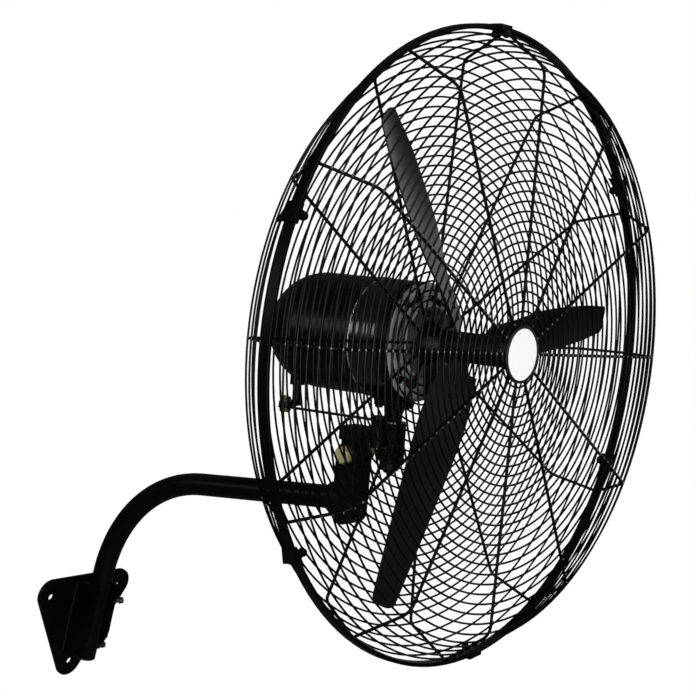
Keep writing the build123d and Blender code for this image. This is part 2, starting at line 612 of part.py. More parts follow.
def tie_screws():
    screws = []
    for i in range(TIE_COUNT):
        head = rod(TIE_SCREW, BELL_FACE, BELL_FACE + 3)
        head = fillet(head.edges().group_by(Axis.Z)[-1], 1.2)
        shank = rod(TIE_SCREW / 2, BRACKET_FACE - BRACKET_DISC - 2, BELL_FACE)
        slot = Pos(0, 0, BELL_FACE + 3) * Box(6, 1, 2)
        screws.append(HEAD * polar(TIE_ANGLE + 90 * i, Pos(TIE_CIRCLE, 0, 0) * (head + shank - slot)))
    return group(screws)


# ---- gearbox and swing linkage ------------------------------------------------------------------
GEARBOX_FRONT = -CRANK_BACK + 24.0
GEARBOX_REAR = -CRANK_BACK - 23.0
WHEEL_TIP = -CRANK_SIDE - WORM_ROOT - GEAR_CLEAR
WHEEL_ROOT = -CRANK_SIDE - WORM_TIP - GEAR_CLEAR


def gearbox_housing():
    left = CRANK_SIDE - WHEEL_TIP - 1.5 - GEARBOX_WALL
    right = WORM_TIP + 1.5 + GEARBOX_WALL
    width, depth = right - left, GEARBOX_FRONT - GEARBOX_REAR
    middle = Pos((left + right) / 2, 0, (GEARBOX_FRONT + GEARBOX_REAR) / 2)
    body = middle * Box(width, 2 * GEARBOX_HALF, depth)
    body = fillet(body.edges().filter_by(Axis.Y), 5)
    bracket_rear = BRACKET_FACE - BEARING_WIDTH - 3
    body += rod(BEARING_OUTER / 2 - 4, GEARBOX_FRONT - 1, bracket_rear)
    body += upright(CRANK_BOSS, -MOTOR_RADIUS + 2, -GEARBOX_HALF, CRANK_SIDE, -CRANK_BACK)
    for x in cover_screw_sides():
        rear = DOME_START - MOTOR_RADIUS + COVER_WALL + 2
        body += Pos(x, 0, 0) * rod(COVER_SCREW + 1, rear, GEARBOX_REAR + 1)
    inside = 2 * GEARBOX_WALL
    body -= middle * Box(width - inside, 2 * GEARBOX_HALF - inside, depth - inside)
    body -= rod(SHAFT / 2 + 1.5, -CRANK_BACK, 0)
    body -= upright(CRANK_SHAFT / 2 + RUN_GAP, -2 * MOTOR_RADIUS, 0, CRANK_SIDE, -CRANK_BACK)
    for x in cover_screw_sides():
        body -= Pos(x, 0, 0) * rod(COVER_SCREW / 2 + SLIP_GAP, 2 * DOME_START, GEARBOX_REAR + 1)
    return HEAD * body


def cover_screws():
    screws = []
    for x in cover_screw_sides():
        seat = cover_screw_seat(x)
        head = rod(COVER_SCREW, seat - 2.6, seat)
        head = fillet(head.edges().group_by(Axis.Z)[0], 1.2)
        screws.append(HEAD * (Pos(x, 0, 0) * (head + rod(COVER_SCREW / 2, seat, GEARBOX_REAR))))
    return group(screws)


def worm_thread():
    """Helical thread cut on the tail of the motor shaft."""
    length = WORM_TURNS * WORM_LEAD
    sunk = 1.2
    root_half, tip_half = 0.26 * WORM_LEAD, 0.12 * WORM_LEAD
    helix = Helix(pitch=WORM_LEAD, height=length, radius=WORM_ROOT - sunk)
    start = Plane(origin=helix @ 0, x_dir=(1, 0, 0), z_dir=helix % 0)
    depth = WORM_TIP - WORM_ROOT + sunk
    outline = make_face(Polyline((0, -root_half), (sunk, -root_half), (depth, -tip_half),
                                 (depth, tip_half), (sunk, root_half), (0, root_half), close=True))
    thread = sweep(start * outline, path=helix, is_frenet=True)
    # a crest faces the wheel in the wheel's own plane
    return Pos(0, 0, -CRANK_BACK) * Rot(0, 0, 180) * Pos(0, 0, -length / 2) * thread


def worm_wheel():
    teeth = WHEEL_TEETH
    body = upright(WHEEL_ROOT, -WHEEL_WIDTH / 2, WHEEL_WIDTH / 2)
    pitch_width = 0.37 * WORM_LEAD
    root_half, tip_half = 0.66 * pitch_width, 0.33 * pitch_width
    flat = make_face(Polyline((WHEEL_ROOT - 1, -root_half), (WHEEL_TIP, -tip_half), (WHEEL_TIP, tip_half),
                              (WHEEL_ROOT - 1, root_half), close=True))
    tooth = Pos(0, -WHEEL_WIDTH / 2, 0) * Rot(-90, 0, 0) * extrude(flat, WHEEL_WIDTH)
    for i in range(teeth):
        body += Rot(0, 360 / teeth * (i + 0.5), 0) * tooth
    body -= upright(CRANK_SHAFT / 2 + RUN_GAP, -WHEEL_WIDTH, WHEEL_WIDTH)
    return HEAD * (Pos(CRANK_SIDE, 0, -CRANK_BACK) * body)


def crank():
    """Crank shaft, its arm and the pin that drives the link."""
    under = CRANK_ARM_TOP - CRANK_ARM_THICKNESS
    place = Pos(CRANK_SIDE, 0, -CRANK_BACK)
    top = GEARBOX_HALF - GEARBOX_WALL - 2
    shaft = upright(CRANK_SHAFT / 2, under, top)
    shaft += upright(CRANK_SHAFT / 2 + 2.5, WHEEL_WIDTH / 2 + FACE_GAP, WHEEL_WIDTH / 2 + 2)
    arm = upright(CRANK_EYE, under, CRANK_ARM_TOP) + upright(CRANK_EYE, under, CRANK_ARM_TOP, -CRANK_THROW)
    arm += Pos(-CRANK_THROW / 2, (under + CRANK_ARM_TOP) / 2, 0) * Box(
        CRANK_THROW, CRANK_ARM_THICKNESS, 2 * CRANK_EYE)
    arm -= upright(CRANK_SHAFT / 2 + SLIP_GAP, under - 1, 0)
    arm -= upright(CRANK_PIN / 2 + SLIP_GAP, under - 1, 0, -CRANK_THROW)
    flats = 1.7 * CRANK_PIN
    foot = LINK_UNDER - LINK_GAP
    pin = upright(CRANK_PIN / 2, foot, CRANK_ARM_TOP + 0.8 * CRANK_PIN + 1.5)
    pin += Pos(0, foot, 0) * Rot(90, 0, 0) * hexagon(flats, 0.65 * CRANK_PIN)
    nut = Pos(0, CRANK_ARM_TOP, 0) * Rot(-90, 0, 0) * hexagon(flats, 0.8 * CRANK_PIN)
    nut -= upright(CRANK_PIN / 2 + SLIP_GAP, 2 * CRANK_ARM_TOP, 0)
    pin_place = Pos(-CRANK_THROW, 0, 0)
    return (HEAD * (place * shaft), HEAD * (place * arm), HEAD * (place * pin_place * pin),
            HEAD * (place * pin_place * nut))


LINK_START = (CRANK_SIDE - CRANK_THROW, -CRANK_BACK)
LINK_END = (PIVOT_SIDE, -PIVOT_BACK)


def link_bar():
    dx, dz = LINK_END[0] - LINK_START[0], LINK_END[1] - LINK_START[1]
    length = hypot(dx, dz)
    strip = Pos(0, (LINK_TOP + LINK_UNDER) / 2, length / 2) * Box(LINK_WIDTH, LINK_THICKNESS, length)
    strip += upright(LINK_EYE, LINK_UNDER, LINK_TOP) + upright(LINK_EYE, LINK_UNDER, LINK_TOP, 0, length)
    strip -= upright(CRANK_PIN / 2 + RUN_GAP, LINK_UNDER - 1, LINK_TOP + 1)
    strip -= upright(CRANK_PIN / 2 + SLIP_GAP, LINK_UNDER - 1, LINK_TOP + 1, 0, length)
    return HEAD * (Pos(LINK_START[0], 0, LINK_START[1]) * Rot(0, degrees(atan(dx / dz)), 0) * strip)


def link_end_screw():
    """Head of the screw at the link's fixed end; it stops short of the boss below."""
    screw = upright(CRANK_PIN / 2, LINK_UNDER, LINK_TOP)
    screw += Pos(0, LINK_TOP, 0) * Rot(-90, 0, 0) * hexagon(1.7 * CRANK_PIN, 0.65 * CRANK_PIN)
    return HEAD * (Pos(LINK_END[0], 0, LINK_END[1]) * screw)


# ---- rotor -----------------------------------------------------------------------------------
def motor_shaft():
    """Shaft with the fan's nose at one end and the worm at the other."""
    step = BRACKET_FACE - BEARING_WIDTH - 6
    shaft = rod(WORM_ROOT, -CRANK_BACK - (WORM_TURNS / 2 + 1) * WORM_LEAD, step) + worm_thread()
    shaft += rod(SHAFT / 2, step, HUB_REAR) + rod(SHAFT_NOSE / 2, HUB_REAR, HUB_FRONT + 9)
    return HEAD * shaft


def rotor_core():
    body = rod(STATOR_BORE - AIR_GAP, STATOR_REAR, STATOR_FRONT)
    body += rod(STATOR_BORE - 6, STATOR_REAR - 6, STATOR_FRONT + 5)
    body -= rod(SHAFT / 2 + SLIP_GAP, 2 * STATOR_REAR, 0)
    return HEAD * body


def blade_place(index):
    return polar(BLADE_PHASE + 360 / BLADE_COUNT * index, Pos(0, 0, BLADE_PLANE))


def blade_section(radius, chord, pitch):
    """Thin cambered section across the blade; its hollow side faces forward."""
    camber = 0.045 * chord * min(1.0, max(0.01, (radius - BLADE_ARM_END) / 80))
    half = BLADE_THICKNESS / 2 * (1.0 if radius < BLADE_THIN_FROM else 0.85)
    lead, trail = -chord / 2, chord / 2
    back = ThreePointArc((lead, -half), (0, -camber - half), (trail, -half))
    front = ThreePointArc((trail, half), (0, -camber + half), (lead, half))
    face = make_face([back, Line((trail, -half), (trail, half)), front, Line((lead, half), (lead, -half))])
    # square to the blade's length: local x along the turning direction, local y forward
    section = Plane(origin=(0, 0, 0), x_dir=(0, 1, 0), z_dir=(1, 0, 0)) * face
    return Pos(radius, 0, 0) * Rot(pitch, 0, 0) * section


def rivet_spots():
    return [Pos(r, 0, 0) * Rot(ROOT_PITCH, 0, 0) for r in RIVET_RADII]


ARM_FRONT = -(BLADE_THICKNESS / 2 + 0.6)   # front of the hub's arm, behind the blade


def blade(index):
    body = loft([blade_section(*s) for s in BLADE_SECTIONS])
    width = 2.2 * max(chord for _, chord, _ in BLADE_SECTIONS)
    plan = Rectangle(BLADE_TIP, width, align=(Align.MIN, Align.CENTER))
    tip_chord = BLADE_SECTIONS[-1][1]
    reach = 4 * BLADE_TIP_ROUND
    tip = Pos(BLADE_TIP - reach, 0) * Rectangle(reach, tip_chord + 4.5, align=(Align.MIN, Align.CENTER))
    tip = fillet(tip.vertices().group_by(Axis.X)[-1], BLADE_TIP_ROUND)
    plan = Pos(0, 0) * Rectangle(BLADE_TIP - BLADE_TIP_ROUND, width, align=(Align.MIN, Align.CENTER)) + tip
    body &= Pos(0, 0, -width / 2) * extrude(plan, width)
    for spot in rivet_spots():
        body -= spot * Cylinder(RIVET / 2 + SLIP_GAP, 40)
    return HEAD * (blade_place(index) * body)


def fan_hub():
    body = rod(HUB_RADIUS, HUB_REAR, HUB_FRONT)
    body = fillet(body.edges().group_by(Axis.Z)[-1], 2)
    for i in range(BLADE_COUNT):
        length = BLADE_ARM_END
        arm = Pos(length / 2, 0, ARM_FRONT - BLADE_ARM_THICKNESS / 2) * Box(
            length, BLADE_ARM_WIDTH, BLADE_ARM_THICKNESS)
        arm = fillet(arm.edges().filter_by(Axis.Z).group_by(Axis.X)[-1], 9)
        arm = Rot(ROOT_PITCH, 0, 0) * arm
        for spot in rivet_spots():
            arm -= spot * Cylinder(RIVET / 2 + SLIP_GAP, 40)
        body += blade_place(i) * arm
    body -= rod(SHAFT_NOSE / 2 + SLIP_GAP, HUB_REAR - 1, HUB_FRONT + 1)
    for angle in (65, 185):
        body -= hub_screw_place(angle) * rod(4 + SLIP_GAP, 0, 40)
    return HEAD * body


def hub_screw_place(angle):
    return Rot(0, 0, angle) * Pos(0, 0, HUB_REAR + 9) * Rot(0, 90, 0)


def hub_set_screws():
    low, high = SHAFT_NOSE / 2 + SLIP_GAP, HUB_RADIUS - 1
    screws = []
    for angle in (65, 185):
        screw = rod(4, low, high) - Pos(0, 0, high - 3) * extrude(RegularPolygon(2.2, 6), 5)
        screws.append(HEAD * (hub_screw_place(angle) * screw))
    return group(screws)


def blade_rivets():
    rivets = []
    rear = ARM_FRONT - BLADE_ARM_THICKNESS
    front = BLADE_THICKNESS / 2
    for i in range(BLADE_COUNT):
        for spot in rivet_spots():
            shank = rod(RIVET / 2, rear, front + RIVET_LIFT)
            head = Cylinder(RIVET * 0.9, RIVET_HEAD)
            nose = fillet(head.edges().group_by(Axis.Z)[-1], 0.7 * RIVET_HEAD)
            tail = fillet(head.edges().group_by(Axis.Z)[0], 0.7 * RIVET_HEAD)
            rivet = shank + Pos(0, 0, rear - RIVET_HEAD / 2) * tail
            rivet += Pos(0, 0, front + RIVET_LIFT + RIVET_HEAD / 2) * nose
            rivets.append(HEAD * (blade_place(i) * spot * rivet))
    return group(rivets)


def shaft_nut():
    nut = Pos(0, 0, HUB_FRONT) * hexagon(1.5 * SHAFT_NOSE, SHAFT_NOSE / 2)
    return HEAD * (nut - rod(SHAFT_NOSE / 2 + SLIP_GAP, 0, 2 * HUB_FRONT))


# ---- guard -----------------------------------------------------------------------------------
def guard_path(side):
    """Centre line of a front (side 1) or rear (side -1) spoke in the (radius, depth) plane."""
    depth, corner, bend = GUARD_DEPTH, (GUARD_CORNER_RADIUS, GUARD_CORNER_DEPTH), GUARD_BEND
    if side < 0:
        depth, corner, bend = REAR_DEPTH, (REAR_CORNER_RADIUS, REAR_CORNER_DEPTH), REAR_BEND
    return FilletPolyline((SPOKE_START, depth), corner,
                          (RIM_RADIUS - RIM_WIRE / 2, RIM_SPACING / 2 + 0.6), radius=bend)


def ring_spots(side, length):
    """Distances along a spoke at which the rings cross it."""
    first = CENTRE_PLATE + RING_WIRE / 2 + 4 - SPOKE_START
    if side > 0:
        count = int((length - first - RIM_WIRE) / RING_PITCH)
        return [first + i * RING_PITCH for i in range(count + 1)]
    corner = hypot(REAR_CORNER_RADIUS - SPOKE_START, REAR_DEPTH - REAR_CORNER_DEPTH)
    inner = SEAT_RADIUS + RING_WIRE - SPOKE_START
    face_count = int((corner - inner) / RING_PITCH)
    side_count = int((length - corner - RIM_WIRE) / REAR_SIDE_PITCH)
    return ([corner - i * RING_PITCH for i in range(face_count + 1)]
            + [corner + (i + 1) * REAR_SIDE_PITCH for i in range(side_count)])


def ring_centres(side):
    """(radius, depth) of every ring of one guard, outside the spokes and clear of the clips' screws."""
    path = guard_path(side)
    length = path.length
    offset = SPOKE_WIRE / 2 + RING_WIRE / 2 - WELD
    centres = []
    for spot in ring_spots(side, length):
        point, way = path @ (spot / length), path % (spot / length)
        radius, depth = point.X - way.Y * offset, point.Y + way.X * offset
        inside = radius + RING_WIRE / 2 < CLIP_SCREW_AT - CLIP_SCREW
        beyond = depth - RING_WIRE / 2 > CLIP_SCREW_END + CLIP_GAP
        if inside or beyond:
            centres.append((radius, depth))
    return centres


def wire_ring(radius, depth, wire):
    """Ring of wire round z.  The section has eight flats and the area of the round wire."""
    corner = wire / 2 * sqrt(pi / (WIRE_FLATS * sin(pi / WIRE_FLATS) * cos(pi / WIRE_FLATS)))
    section = Pos(radius, depth) * RegularPolygon(corner, WIRE_FLATS, rotation=180 / WIRE_FLATS)
    return revolve(Plane.XZ * section, Axis.Z)


def guard_rings(side, face):
    """Face rings or side rings of the front (side 1) or rear (side -1) guard."""
    rings = []
    for radius, depth in ring_centres(side):
        if (depth > SIDE_RING_DEPTH) == face:
            rings.append(HEAD * wire_ring(radius, side * depth, RING_WIRE))
    return group(rings)


def guard_spokes(side):
    plane = Plane(origin=(0, 0, 0), x_dir=(1, 0, 0), z_dir=(0, -1, 0))
    path = plane * guard_path(side)
    spoke = sweep(Plane(origin=path @ 0, z_dir=path % 0) * Circle(SPOKE_WIRE / 2), path=path)
    if side < 0:
        spoke = mirror(spoke, about=Plane.XY)
    step = 360 / SPOKE_COUNT
    return group([HEAD * polar(SPOKE_PHASE + step * i, spoke) for i in range(SPOKE_COUNT)])


def rim_wires():
    return group([HEAD * wire_ring(RIM_RADIUS, side * RIM_SPACING / 2, RIM_WIRE) for side in (-1, 1)])


FRONT_PLATE_BACK = GUARD_DEPTH + SPOKE_WIRE / 2     # back of the plate on the front spokes


def front_centre_plate():
    return HEAD * rod(CENTRE_PLATE, FRONT_PLATE_BACK - WELD, FRONT_PLATE_BACK + PLATE_SHEET)


def badge():
    low = FRONT_PLATE_BACK + PLATE_SHEET
    lip = ring(CENTRE_PLATE, BADGE_RADIUS + SLIP_GAP, low, low + BADGE_LIP)
    lip = fillet(lip.edges().group_by(Axis.Z)[-1], 0.9)
    disc = rod(BADGE_RADIUS, low, low + BADGE_LIP - 0.8)
    return HEAD * lip, HEAD * disc


def guard_screw_circle():
    return (REAR_RING_INNER + SEAT_RADIUS) / 2 + 1


def guard_screw_angles():
    return [13 + 90 * i for i in range(4)]


def rear_centre_ring():
    body = ring(SEAT_RADIUS - 1, REAR_RING_INNER, SEAT_FACE, REAR_RING_FACE)
    for angle in guard_screw_angles():
        hole = rod(TIE_SCREW / 2 + SLIP_GAP, SEAT_FACE - 5, 0)
        body -= polar(angle, Pos(guard_screw_circle(), 0, 0) * hole)
    return HEAD * body


def guard_screws():
    screws = []
    for angle in guard_screw_angles():
        head = rod(TIE_SCREW, REAR_RING_FACE, REAR_RING_FACE + 3)
        head = fillet(head.edges().group_by(Axis.Z)[-1], 1.2)
        screw = head + rod(TIE_SCREW / 2, SEAT_FACE - 8, REAR_RING_FACE)
        slot = Pos(0, 0, REAR_RING_FACE + 3) * Box(6, 1, 2)
        screws.append(HEAD * polar(angle, Pos(guard_screw_circle(), 0, 0) * (screw - slot)))
    return group(screws)


def clip_places():
    return [Rot(0, 0, angle) for angle in CLIP_ANGLES]


def rim_hoop():
    half = HOOP_WIDTH / 2
    body = rod(HOOP_OUTER, -half, half)
    body = fillet(body.edges(), 1.2)
    body -= rod(HOOP_OUTER - HOOP_SHEET, -half + HOOP_SHEET, half - HOOP_SHEET)
    return HEAD * (body - rod(HOOP_OUTER - HOOP_LIP, -half - 1, half + 1))


CLIP_INNER = HOOP_OUTER + CLIP_GAP
CLIP_OUTER = CLIP_INNER + CLIP_SHEET
CLIP_REACH = HOOP_WIDTH / 2 + CLIP_GAP + CLIP_SHEET                         # outside of a clip's legs
CLIP_SCREW_AT = RIM_RADIUS - RIM_WIRE / 2 - CLIP_GAP - CLIP_SCREW / 2       # inside the rim wires
CLIP_NUT = 0.7 * CLIP_SCREW
CLIP_SCREW_END = CLIP_REACH + CLIP_NUT + 1.5


def rim_clips():
    """Channel clips over the hoop, with two ears for a cross screw; one end flares out as a tail."""
    low = HOOP_OUTER - HOOP_LIP - 1.0
    ear_low = CLIP_SCREW_AT - CLIP_SCREW
    end = CLIP_LENGTH / 2
    back = CLIP_SHEET / 2 - CLIP_REACH
    solids = []
    for place in clip_places():
        block = Pos((low + CLIP_OUTER) / 2, 0, 0) * Box(CLIP_OUTER - low, CLIP_LENGTH, 2 * CLIP_REACH)
        block = fillet(block.edges().filter_by(Axis.Y).group_by(Axis.X)[-1], 1.5)
        tail = make_face(Polyline((-end, back), (-end, -CLIP_REACH), (end, -CLIP_REACH - CLIP_TAIL),
                                  (end + 2, -CLIP_REACH - CLIP_TAIL), (end, back), close=True))
        block += Plane(origin=(CLIP_INNER, 0, 0), x_dir=(0, 1, 0), z_dir=(1, 0, 0)) * extrude(tail, 1.6)
        ears = Pos((ear_low + low) / 2 + 1, 0, 0) * Box(low - ear_low + 2, CLIP_EAR, 2 * CLIP_REACH)
        block += fillet(ears.edges().filter_by(Axis.Z).group_by(Axis.X)[0], 4)
        block -= Pos((ear_low + CLIP_INNER) / 2 - 1, 0, 0) * Box(
            CLIP_INNER - ear_low + 2, 2 * CLIP_LENGTH, 2 * (CLIP_REACH - CLIP_SHEET))
        block -= Pos(CLIP_SCREW_AT, 0, 0) * rod(CLIP_SCREW / 2 + SLIP_GAP, -2 * CLIP_REACH, 2 * CLIP_REACH)
        solids.append(HEAD * (place * block))
    return group(solids)


def clip_screws():
    """Cross screws just inside the rim wires, with their heads behind and their nuts in front."""
    screws, nuts = [], []
    for place in clip_places():
        at = place * Pos(CLIP_SCREW_AT, 0, 0)
        head = rod(0.95 * CLIP_SCREW, -CLIP_REACH - 3, -CLIP_REACH)
        head = fillet(head.edges().group_by(Axis.Z)[0], 1.3)
        screws.append(HEAD * (at * (head + rod(CLIP_SCREW / 2, -CLIP_REACH, CLIP_SCREW_END))))
        nut = Pos(0, 0, CLIP_REACH) * hexagon(1.7 * CLIP_SCREW, CLIP_NUT)
        nuts.append(HEAD * (at * (nut - rod(CLIP_SCREW / 2 + SLIP_GAP, 0, 2 * CLIP_SCREW_END))))
    return group(screws), group(nuts)


# ---- every piece ---------------------------------------------------------------------------------
parts["wall_plate"] = wall_plate()
parts["tube_bracket"] = tube_bracket()
parts["bracket_bolts"], parts["bracket_nuts"] = arm_screws()
parts["arm_tube"] = arm_tube()
parts["tube_end_plug"] = tube_end_plug()
parts["knuckle"] = knuckle()
parts["knuckle_clamp_screw"] = knuckle_clamp_screw()
parts["tilt_bolt"], parts["tilt_nut"], parts["tilt_washers"] = tilt_fastener()
parts["tilt_head"] = tilt_head()
parts["pivot_bush"] = pivot_bush()
parts["pivot_post"] = pivot_post()
parts["foot_screws"] = foot_screws()
parts["thrust_washer"], parts["post_nut"] = post_hardware()
parts["front_end_bell"] = front_end_bell()
parts["motor_shell"] = motor_shell()
parts["rear_cover"] = rear_cover()
parts["cable_gland"] = cable_gland()
parts["rear_bearing_bracket"] = rear_bearing_bracket()
parts["bearings"] = bearings()
parts["stator_core"] = stator_core()
parts["stator_windings"] = stator_windings()
parts["tie_screws"] = tie_screws()
parts["gearbox_housing"] = gearbox_housing()
parts["cover_screws"] = cover_screws()
parts["worm_wheel"] = worm_wheel()
parts["crank_shaft"], parts["crank_arm"], parts["crank_pin"], parts["crank_pin_nut"] = crank()
parts["link_bar"] = link_bar()
parts["link_end_screw"] = link_end_screw()
parts["motor_shaft"] = motor_shaft()
parts["rotor_core"] = rotor_core()
parts["fan_hub"] = fan_hub()
for number in range(BLADE_COUNT):
    parts[f"blade_{number + 1}"] = blade(number)
parts["blade_rivets"] = blade_rivets()
parts["hub_set_screws"] = hub_set_screws()
parts["shaft_nut"] = shaft_nut()
parts["front_guard_spokes"] = guard_spokes(1)
parts["front_guard_face_rings"] = guard_rings(1, True)
parts["front_guard_side_rings"] = guard_rings(1, False)
parts["front_centre_plate"] = front_centre_plate()
parts["badge_rim"], parts["badge_disc"] = badge()
parts["rear_guard_spokes"] = guard_spokes(-1)
parts["rear_guard_face_rings"] = guard_rings(-1, True)
parts["rear_guard_side_rings"] = guard_rings(-1, False)
parts["rear_centre_ring"] = rear_centre_ring()
parts["guard_screws"] = guard_screws()
parts["guard_rim_wires"] = rim_wires()
parts["rim_hoop"] = rim_hoop()
parts["rim_clips"] = rim_clips()
parts["clip_screws"], parts["clip_nuts"] = clip_screws()

os.makedirs("parts", exist_ok=True)
for name, shape in parts.items():
    export_step(shape, f"parts/{name}.step")
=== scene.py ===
import bpy
import bmesh
from math import cos, hypot, pi, radians, sin
from mathutils import Matrix, Vector


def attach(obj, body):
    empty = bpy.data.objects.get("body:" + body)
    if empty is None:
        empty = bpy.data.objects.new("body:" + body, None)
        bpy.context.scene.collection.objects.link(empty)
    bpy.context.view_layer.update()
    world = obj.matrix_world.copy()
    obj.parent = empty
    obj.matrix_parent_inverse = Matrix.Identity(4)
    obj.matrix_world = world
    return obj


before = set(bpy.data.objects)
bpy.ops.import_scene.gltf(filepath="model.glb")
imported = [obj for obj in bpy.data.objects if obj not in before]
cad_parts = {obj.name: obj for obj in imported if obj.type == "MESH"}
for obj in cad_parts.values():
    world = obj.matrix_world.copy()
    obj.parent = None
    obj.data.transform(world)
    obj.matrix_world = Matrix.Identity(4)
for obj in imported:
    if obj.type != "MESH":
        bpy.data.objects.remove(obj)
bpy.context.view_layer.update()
scene = bpy.context.scene
scene.view_settings.view_transform = "Standard"

# ---- Camera --------------------------------------------------------------------------------------
# Stands out from the wall, to the left of the fan and above the motor, looks slightly down at it
# and is rolled a little, as in the reference picture. The lens is that of a short telephoto.
CAMERA_PLACE = Vector((-1.743, -1.680, 1.026))
CAMERA_LOOK = Vector((0.7838, 0.5844, -0.2101))
CAMERA_UP = Vector((0.0182, 0.3166, 0.9483))
SENSOR_MM = 36.0
LENS_MM = 85.97
FAR_CLIP = 60.0

camera = bpy.data.objects.new("camera", bpy.data.cameras.new("camera"))
scene.collection.objects.link(camera)
camera.data.sensor_width = SENSOR_MM
camera.data.lens = LENS_MM
camera.data.clip_end = FAR_CLIP
camera_axes = Matrix((CAMERA_LOOK.cross(CAMERA_UP), CAMERA_UP, -CAMERA_LOOK)).transposed()
camera.matrix_world = Matrix.Translation(CAMERA_PLACE) @ camera_axes.to_4x4()
scene.camera = camera

# ---- Surround ------------------------------------------------------------------------------------
# White where the camera looks straight at it or through something clear, and a faint cool grey
# for light and reflections, so that the black coat stays black.
SURROUND_GREY = (0.95, 0.97, 1.0, 1)
SURROUND_STRENGTH = 0.08

world = bpy.data.worlds.new("surround")
scene.world = world
world.use_nodes = True
nodes, links = world.node_tree.nodes, world.node_tree.links
nodes.clear()
rays = nodes.new("ShaderNodeLightPath")
seen = nodes.new("ShaderNodeMath")
seen.operation = "MAXIMUM"
soft = nodes.new("ShaderNodeBackground")
soft.inputs["Color"].default_value = SURROUND_GREY
soft.inputs["Strength"].default_value = SURROUND_STRENGTH
white = nodes.new("ShaderNodeBackground")
white.inputs["Color"].default_value = (1, 1, 1, 1)
choose = nodes.new("ShaderNodeMixShader")
out = nodes.new("ShaderNodeOutputWorld")
links.new(rays.outputs["Is Camera Ray"], seen.inputs[0])
links.new(rays.outputs["Is Transmission Ray"], seen.inputs[1])
links.new(seen.outputs[0], choose.inputs[0])
links.new(soft.outputs[0], choose.inputs[1])
links.new(white.outputs[0], choose.inputs[2])
links.new(choose.outputs[0], out.inputs["Surface"])

# ---- Floor ---------------------------------------------------------------------------------------
# A wide floor well below the fan: matte grey for light that bounces off it, and mostly glowing
# white for the camera.
FLOOR_LEVEL = -0.9
FLOOR_REACH = 14.0
FLOOR_GREY = (0.16, 0.16, 0.16, 1)
FLOOR_ROUGHNESS = 0.9
FLOOR_GLOW = 1.24
GLOW_SHARE = 0.8

ground = bmesh.new()
bmesh.ops.create_grid(ground, x_segments=1, y_segments=1, size=FLOOR_REACH)
bmesh.ops.translate(ground, verts=ground.verts, vec=(0, 0, FLOOR_LEVEL))
floor_mesh = bpy.data.meshes.new("floor")
ground.to_mesh(floor_mesh)
ground.free()
floor = bpy.data.objects.new("floor", floor_mesh)
scene.collection.objects.link(floor)
floor_paint = bpy.data.materials.new("floor_paint")
floor_paint.use_nodes = True
nodes, links = floor_paint.node_tree.nodes, floor_paint.node_tree.links
matte = nodes["Principled BSDF"]
matte.inputs["Base Color"].default_value = FLOOR_GREY
matte.inputs["Roughness"].default_value = FLOOR_ROUGHNESS
glow = nodes.new("ShaderNodeEmission")
glow.inputs["Color"].default_value = (1, 1, 1, 1)
glow.inputs["Strength"].default_value = FLOOR_GLOW
rays = nodes.new("ShaderNodeLightPath")
part_white = nodes.new("ShaderNodeMath")
part_white.operation = "MULTIPLY"
part_white.inputs[1].default_value = GLOW_SHARE
choose = nodes.new("ShaderNodeMixShader")
links.new(rays.outputs["Is Camera Ray"], part_white.inputs[0])
links.new(part_white.outputs[0], choose.inputs[0])
links.new(matte.outputs[0], choose.inputs[1])
links.new(glow.outputs[0], choose.inputs[2])
links.new(choose.outputs[0], nodes["Material Output"].inputs["Surface"])
floor.data.materials.append(floor_paint)

# ---- Lamps ---------------------------------------------------------------------------------------
# Four large round soft lamps: one above, one beside the camera, one on the fan's far side and one
# behind its left. Each row is a name, a place, the point it aims at, a width and a power.
for lamp_name, place, aim, width, watts in (
        ("key_lamp", (-1.0, -1.8, 3.2), (-0.1, -0.5, 0.5), 1.4, 60),
        ("fill_lamp", (-2.2, -2.9, 1.0), (0, -0.5, 0.5), 1.8, 96),
        ("side_lamp", (3.0, -0.6, 1.2), (0, -0.5, 0.5), 1.4, 13),
        ("back_lamp", (-2.4, 1.7, 0.85), (0, -0.4, 0.5), 0.9, 9)):
    lamp = bpy.data.objects.new(lamp_name, bpy.data.lights.new(lamp_name, "AREA"))
    lamp.data.shape = "DISK"
    lamp.data.size = width
    lamp.data.energy = watts
    turn = (Vector(aim) - Vector(place)).to_track_quat("-Z", "Y").to_matrix().to_4x4()
    lamp.matrix_world = Matrix.Translation(place) @ turn
    scene.collection.objects.link(lamp)


# ---- Wall plate, bracket and arm -----------------------------------------------------------------
# Sheet steel plate with a welded channel, and a bent tube held by it. All of it is powder
# coated black, semi-gloss, with a fine orange peel and a little dust.
COAT_CLOUDS = 14.0
COAT_SPECKS = 420.0
PEEL_FINE = 900.0
PEEL_COARSE = 260.0
PEEL_DEPTH = 0.0004


